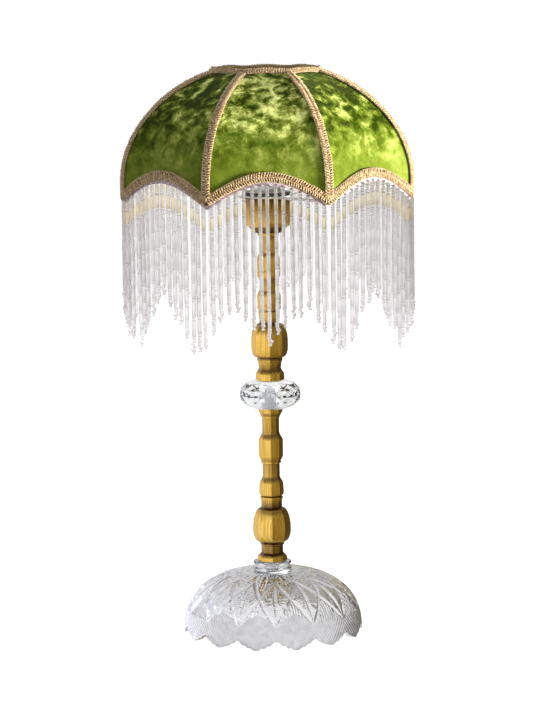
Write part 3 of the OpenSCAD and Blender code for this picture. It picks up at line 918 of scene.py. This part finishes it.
def lining():
    pieces = []
    for i in range(1, PANELS + 1):
        outer = gore_layer(i, 4, CROWN_Z - 3, -4.9, 24, 24, 0.002, 0.4, 0.6)
        inner = gore_layer(i, 4, CROWN_Z - 3, -5.4, 24, 24, 0.002, 0.4, 0.6)
        pieces.append(mesh(f"lining_gore_{i}", *shell(outer, inner), "shade", "lining", lining_cloth))
    for piece in pieces:
        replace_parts(piece, "lining")


def fringe_tape():
    pieces = []
    for i in range(1, PANELS + 1):
        u = np.linspace(-1, 1, 40)[None, :]
        drop = np.linspace(-HEM, 5.5, 10)[:, None]
        angle = dome_angle(edge_height(u * HALF_W) + drop)
        flare = BOW * (1 - u ** 2) * np.clip(-drop - 1, 0, None) / HEM
        outer, inner = (gore_point(i, u + 0 * drop, angle, out + flare) for out in (0.9, 0.3))
        pieces.append(mesh(f"header_tape_{i}", *shell(outer, inner), "shade", "tape", ribbon))
    for piece in pieces:
        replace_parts(piece, "fringe_tape")


velvet_panels()
lining()
fringe_tape()


# ---------- braid ----------

def gimp(name, line, out, width, closed, node_name):
    """Scroll gimp along a line: two rows of looped thread, a cord down the middle and one at each edge.
    out is the direction away from the cloth at each point of the line."""
    p, out = np.asarray(line, float), np.asarray(out, float)
    if closed:
        p, out = np.concatenate([p, p[:1]]), np.concatenate([out, out[:1]])
    along = np.concatenate([[0], np.cumsum(np.linalg.norm(np.diff(p, axis=0), axis=1))])
    loops = round(along[-1] / 2.4)
    per_loop = 10

    def at(count):
        s = np.linspace(0, along[-1], count, endpoint=not closed)
        q = np.stack([np.interp(s, along, p[:, k]) for k in range(3)], -1)
        n = np.stack([np.interp(s, along, out[:, k]) for k in range(3)], -1)
        t = np.roll(q, -1, 0) - np.roll(q, 1, 0) if closed else np.gradient(q, axis=0)
        t /= np.linalg.norm(t, axis=1)[:, None]
        n /= np.linalg.norm(n, axis=1)[:, None]
        return s, q, n, np.cross(t, n)

    def uneven(s):
        knots = rng.uniform(-1, 1, loops + 1)
        knots[-1] = knots[0]
        return np.interp(s / along[-1] * loops, np.arange(loops + 1), knots)

    parts, crowns = [], []
    s, q, n, side = at(loops * per_loop)
    for row in (-1, 1):
        phase = 2 * math.pi * s / along[-1] * loops + 1.1 * uneven(s) + (0 if row < 0 else math.pi / 2)
        sway = row * width / 4 + (width / 4 - 0.5) * np.sin(phase) * row * (1 + 0.3 * uneven(s))
        lift = 1.1 + 0.9 * np.cos(phase) + 0.35 * uneven(s)
        parts.append(tube_along(q + side * sway[:, None] + n * lift[:, None], 0.72, 6, closed))
        # crown sets the painted light: high on the tops of the loops, low down by the cloth, where the
        # material paints shade.
        crowns.append(np.repeat(0.25 + 0.75 * (0.5 + 0.5 * np.cos(phase)), 6))
    s, q, n, side = at(loops * 4)
    edge = width / 2 - 0.45
    for sway, lift, thick in ((0, 1.2, 0.6), (-edge, 0.8, 0.55), (edge, 0.8, 0.55)):
        knot = 0.5 + 0.5 * np.cos(np.arange(len(q)) * math.pi)
        parts.append(tube_along(q + side * sway + n * (lift + 0.35 * knot)[:, None], thick, 5, closed))
        # Painted highlight on each knot of the cords, painted shade between them.
        crowns.append(np.repeat(0.2 + 0.8 * knot, 5))
    s, q, n, side = at(loops)
    band = [q + side * w + n * h for w, h in ((-width / 2 + 0.3, 0.1), (width / 2 - 0.3, 0.1),
                                              (width / 2 - 0.3, 0.7), (-width / 2 + 0.3, 0.7))]
    verts = np.stack(band, 1).reshape(-1, 3)
    faces = grid_faces(len(q), 4, closed, True)
    if not closed:
        faces += [(3, 2, 1, 0), tuple(range(len(verts) - 4, len(verts)))]
    parts.append((verts, faces))
    # The band's face under the loops gets the darkest painted shade, and its face on the cloth a middle
    # one.
    crowns.append(np.tile([0.5, 0.5, 0, 0], len(q)))
    piece = mesh(name, *joined(parts), "shade", "gimp", gimp_thread)
    attribute(piece, "crown", np.concatenate(crowns))
    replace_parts(piece, node_name)


def outward(angle, rise):
    """Unit direction away from the shade's surface, at an angle round it and an angle up the dome."""
    flat = np.cos(rise) / SHADE_R
    up = np.sin(rise) / DOME_RISE
    size = np.hypot(flat, up)
    return np.stack([flat / size * np.cos(angle), flat / size * np.sin(angle), up / size], -1)


def braids():
    width = 8.4
    for k in range(PANELS):
        a = panel_angle(k + 1) + HALF
        rise = np.linspace(dome_angle(EDGE_Z + 6), dome_angle(CROWN_Z - 0.9), 60)
        line = np.stack([SHADE_R * np.cos(rise) * math.cos(a), SHADE_R * np.cos(rise) * math.sin(a),
                         DOME_Z + DOME_RISE * np.sin(rise)], -1)
        gimp(f"rib_gimp_{k + 1}", line, outward(np.full(60, a), rise), width, False, "rib_braids")
    width = 9.2
    line, out = [], []
    for i in range(1, PANELS + 1):
        u = np.linspace(-1, 1, 40, endpoint=False)
        low = dome_angle(edge_height(u * HALF_W) + width / 2 - 2)
        p = gore_point(i, u, low, 1.0)
        line.append(p)
        out.append(p * [1, 1, 0] / np.linalg.norm(p[:, :2], axis=1)[:, None])
    gimp("hem_gimp", np.concatenate(line), np.concatenate(out), width, True, "bottom_braid")
    line = []
    for i in range(1, PANELS + 1):
        u = np.linspace(-1, 1, 16, endpoint=False)
        p = gore_point(i, u, np.full(16, dome_angle(CROWN_Z - 0.3)), 1.2)
        p[:, 2] += 2.4 * np.cos(math.pi / 2 * np.abs(u)) - 0.6
        line.append(p)
    line = np.concatenate(line)
    line = sum(np.roll(line, k, 0) for k in range(-4, 5)) / 9
    turn = np.arctan2(line[:, 1], line[:, 0])
    out = outward(turn, np.full(len(turn), dome_angle(CROWN_Z)))
    out += 0.8 * np.stack([np.cos(turn), np.sin(turn), 0 * turn], -1)
    gimp("crown_gimp", line, out, 6, True, "top_braid")


braids()


def shade_frame():
    low, high, r = span("fitter_ring")
    t = (high - low) / 2
    outline = [(21, low + 0.3), (21.3, low), (r - 0.4, low), (r, low + t), (r - 0.4, high),
               (21.3, high), (21, high - 0.3)]
    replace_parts(lathe("fitter_hoop", outline, "shade", "white_wire", enamel, count=72), "fitter_ring")
    parts = []
    for k in range(0, PANELS, 2):
        a = panel_angle(k + 1) + HALF
        start, end = np.array([r + 1.6, low + t]), np.array([SHADE_R - 7, EDGE_Z + 1.2])
        run = [start + (end - start) * s for s in np.linspace(0, 1, 12)]
        parts.append(tube_along([(q[0] * math.cos(a), q[0] * math.sin(a), q[1]) for q in run], 1.4, 10))
    piece = mesh("spider_wires", *joined(parts), "shade", "white_wire", enamel)
    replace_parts(piece, "spider_arms")


shade_frame()


# ---------- fringe ----------

FRINGE_R = SHADE_R * FLAT - 1.0
STRINGS = 15
LONG, SHORT = 153, 111
POINTS = 12

SEED = [(0.28, 1), (0.72, 1)]
BUGLE = [(0.05, 1), (0.95, 1)]
CUT = [(0.5, 1)]
DROP = [(0.3, 1), (0.55, 0.95), (0.85, 0.45)]
SIDES = 8


def zigzag(angle):
    part = (angle * POINTS / (2 * math.pi)) % 1
    return abs(2 * part - 1)


def string_of_beads(length):
    """(shape, height, radius, material) of each bead, from the tape down. A shape lists how wide the
    bead is at some shares of its height."""
    head = [(SEED, 2.4, 1.95, 0)] * 4 + [(CUT, 3, 2.2, 0), (BUGLE, 12, 1.95, 1), (CUT, 3, 2.2, 0)]
    head += [(SEED, 2.2, 2.0, 0)] * 9
    foot = [(CUT, 3, 2.1, 0), (SEED, 2.4, 2.1, 0), (CUT, 2.8, 2.2, 0), (DROP, 4.6, 2.4, 0),
            (SEED, 2, 1.7, 0)]
    spare = length - sum(b[1] for b in head + foot)
    count = max(1, round(spare / 17))
    return head + [(BUGLE, spare / count - 2.4, 2.0, 0), (SEED, 2.4, 2.1, 0)] * count + foot


def string_skin(beads, x, y, top, lean):
    """Points, faces and material numbers of one string, closed at both ends."""
    rings, kinds = [(0.0, 1.1, np.zeros(2))], []
    z = 0.0
    for k, (shape, high, wide, kind) in enumerate(beads):
        loose = rng.uniform(-1.1, 1.1, 2) * (k > len(beads) - 5)
        rings += [(z + t * high, f * wide, loose) for t, f in shape]
        z += high
        rings.append((z, 0.68 * min(wide, beads[min(k + 1, len(beads) - 1)][2]), loose * 0.6))
        kinds += [kind] * (len(shape) + 1)
    turn = 2 * math.pi * np.arange(SIDES) / SIDES + rng.uniform(0, 1)
    verts = np.array([(x + lean[0] * d + loose[0] + r * math.cos(a),
                       y + lean[1] * d + loose[1] + r * math.sin(a), top - d)
                      for d, r, loose in rings for a in turn])
    last = len(verts) - SIDES
    ends = [tuple(range(SIDES)), tuple(range(last, last + SIDES))[::-1]]
    faces = [f[::-1] for f in grid_faces(len(rings), SIDES, False, True)] + ends
    return verts, faces, list(np.repeat(kinds, SIDES)) + [0, 0]


def fringe_rows():
    for i in range(1, PANELS + 1):
        parts, indices = [], []
        half = FRINGE_R * math.tan(HALF) - 4.4
        a = panel_angle(i)
        for y in np.linspace(-half, half, STRINGS):
            top = edge_height(y) - HEM + 1.8
            reach = SHORT + (LONG - SHORT) * zigzag(a + math.atan(y / FRINGE_R))
            beads = string_of_beads(reach - HEM + 1.8 + rng.uniform(-4, 4))
            x = FRINGE_R + BOW * (1 - (y / half) ** 2) + rng.uniform(-0.6, 0.6)
            verts, faces, kinds = string_skin(beads, x, y + rng.uniform(-0.9, 0.9), top,
                                              rng.uniform(-0.01, 0.01, 2))
            parts.append((verts, faces))
            indices += kinds
        verts, faces = joined(parts)
        verts[:, 0], verts[:, 1] = turned(verts[:, 0], verts[:, 1], a)
        piece = mesh(f"bead_strings_{i}", verts, faces, None, None, [clear_bead, champagne_bead],
                     indices=indices, sharp=50)
        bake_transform(piece)
        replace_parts(piece, f"fringe_{i}")


fringe_rows()


# ---------- studio ----------

def floor():
    size = 12
    data = bpy.data.meshes.new("studio_floor")
    data.from_pydata([(-size, -size, 0), (size, -size, 0), (size, size, 0), (-size, size, 0)], [],
                     [(0, 1, 2, 3)])
    piece = bpy.data.objects.new("studio_floor", data)
    bpy.context.scene.collection.objects.link(piece)
    m, _, bsdf = shader("floor_white", (0.25, 0.25, 0.25), 0.9)
    bsdf.inputs["Emission Color"].default_value = (1, 1, 1, 1)
    bsdf.inputs["Emission Strength"].default_value = 0.92
    data.materials.append(m)
    piece.visible_glossy = False
    piece.visible_diffuse = False


def area_light(name, at, aim, size, power, color=(1, 1, 1)):
    """A soft light that mirrors and glass don't show."""
    data = bpy.data.lights.new(name, "AREA")
    data.shape = "DISK"
    data.size = size
    data.energy = power
    data.color = color
    lamp = bpy.data.objects.new(name, data)
    bpy.context.scene.collection.objects.link(lamp)
    lamp.location = at
    lamp.rotation_mode = "QUATERNION"
    lamp.rotation_quaternion = (Vector(aim) - Vector(at)).to_track_quat("-Z", "Y")
    lamp.visible_glossy = False
    lamp.visible_transmission = False


def toward(tree, coords, direction, stops):
    """Colour by the angle from a direction: the ramp runs from straight away to straight toward it."""
    dot = node(tree, "ShaderNodeVectorMath", {0: coords, 1: direction}, operation="DOT_PRODUCT")
    fac = node(tree, "ShaderNodeMapRange", {"Value": dot.outputs["Value"], "From Min": -1.0,
                                            "From Max": 1.0})
    return ramp(tree, fac.outputs[0], stops)


def studio_world():
    """White behind the lamp. Mirrors see a room, bright on the left, dark on the right and above;
    glass sees a soft grey field, and the other rays an even grey."""
    world = bpy.data.worlds.new("studio")
    bpy.context.scene.world = world
    world.use_nodes = True
    tree = world.node_tree
    background = tree.nodes["Background"]
    coords = node(tree, "ShaderNodeTexCoord").outputs["Generated"]
    room = toward(tree, coords, (-0.93, -0.3, 0.2),
                  [(0.0, (0.1, 0.09, 0.08)), (0.14, (0.17, 0.14, 0.1)), (0.27, (0.46, 0.41, 0.25)),
                   (0.33, (0.5, 0.49, 0.48)), (0.6, (1.0, 1.0, 1.05)), (0.85, (1.15, 1.17, 1.3)),
                   (1.0, (1.45, 1.5, 1.9))])
    up = node(tree, "ShaderNodeSeparateXYZ", {"Vector": coords}).outputs["Z"]
    room = mixed(tree, grey(tree, up, [(0.2, 0.0), (0.5, 0.6)]), room, (0.3, 0.3, 0.31))
    behind = toward(tree, coords, (0.3, 0.93, -0.2),
                    [(0.0, (0.7, 0.7, 0.71)), (0.5, (0.5, 0.5, 0.51)), (0.72, (0.78, 0.78, 0.78)),
                     (0.88, (1, 1, 1))])
    ray = node(tree, "ShaderNodeLightPath").outputs
    seen = mixed(tree, ray["Is Glossy Ray"], (0.42, 0.42, 0.43), room)
    seen = mixed(tree, ray["Is Transmission Ray"], seen, behind)
    seen = mixed(tree, ray["Is Camera Ray"], seen, (1, 1, 1))
    tree.links.new(seen, background.inputs["Color"])
    background.inputs["Strength"].default_value = 1.0


def camera():
    """Camera at the photograph's place: 2.63 m away, 654 mm up, looking 8.2 degrees down."""
    distance, height, pitch, yaw, roll = 2.6269, 0.6540, 0.1424, 0.0012, 0.0137
    focal, image_height = 2685.1, 711
    data = bpy.data.cameras.new("camera")
    data.sensor_width = 36
    data.lens = data.sensor_width * focal / image_height
    data.clip_end = 100
    cam = bpy.data.objects.new("camera", data)
    bpy.context.scene.collection.objects.link(cam)
    level_part = math.cos(pitch)
    forward = Vector((-math.sin(yaw) * level_part, math.cos(yaw) * level_part, -math.sin(pitch)))
    right = forward.cross(Vector((0, 0, 1))).normalized()
    up = right.cross(forward)
    turned = right * math.cos(roll) - up * math.sin(roll)
    up = right * math.sin(roll) + up * math.cos(roll)
    turn = Matrix((turned, up, -forward)).transposed()
    cam.matrix_world = Matrix.Translation((0, -distance, height)) @ turn.to_4x4()
    bpy.context.scene.camera = cam


floor()
studio_world()
area_light("key", (2.1, -0.9, 0.15), (0, 0, 0.4), 0.7, 245, (1, 0.99, 0.96))
area_light("front", (0.2, -2.1, 1.1), (0, 0, 0.45), 1.0, 12, (1, 1, 0.98))
area_light("back", (-1.2, 2.2, 0.9), (0, 0, 0.45), 1.0, 60, (1, 0.99, 0.97))
camera()
bpy.context.scene.view_settings.view_transform = "Standard"
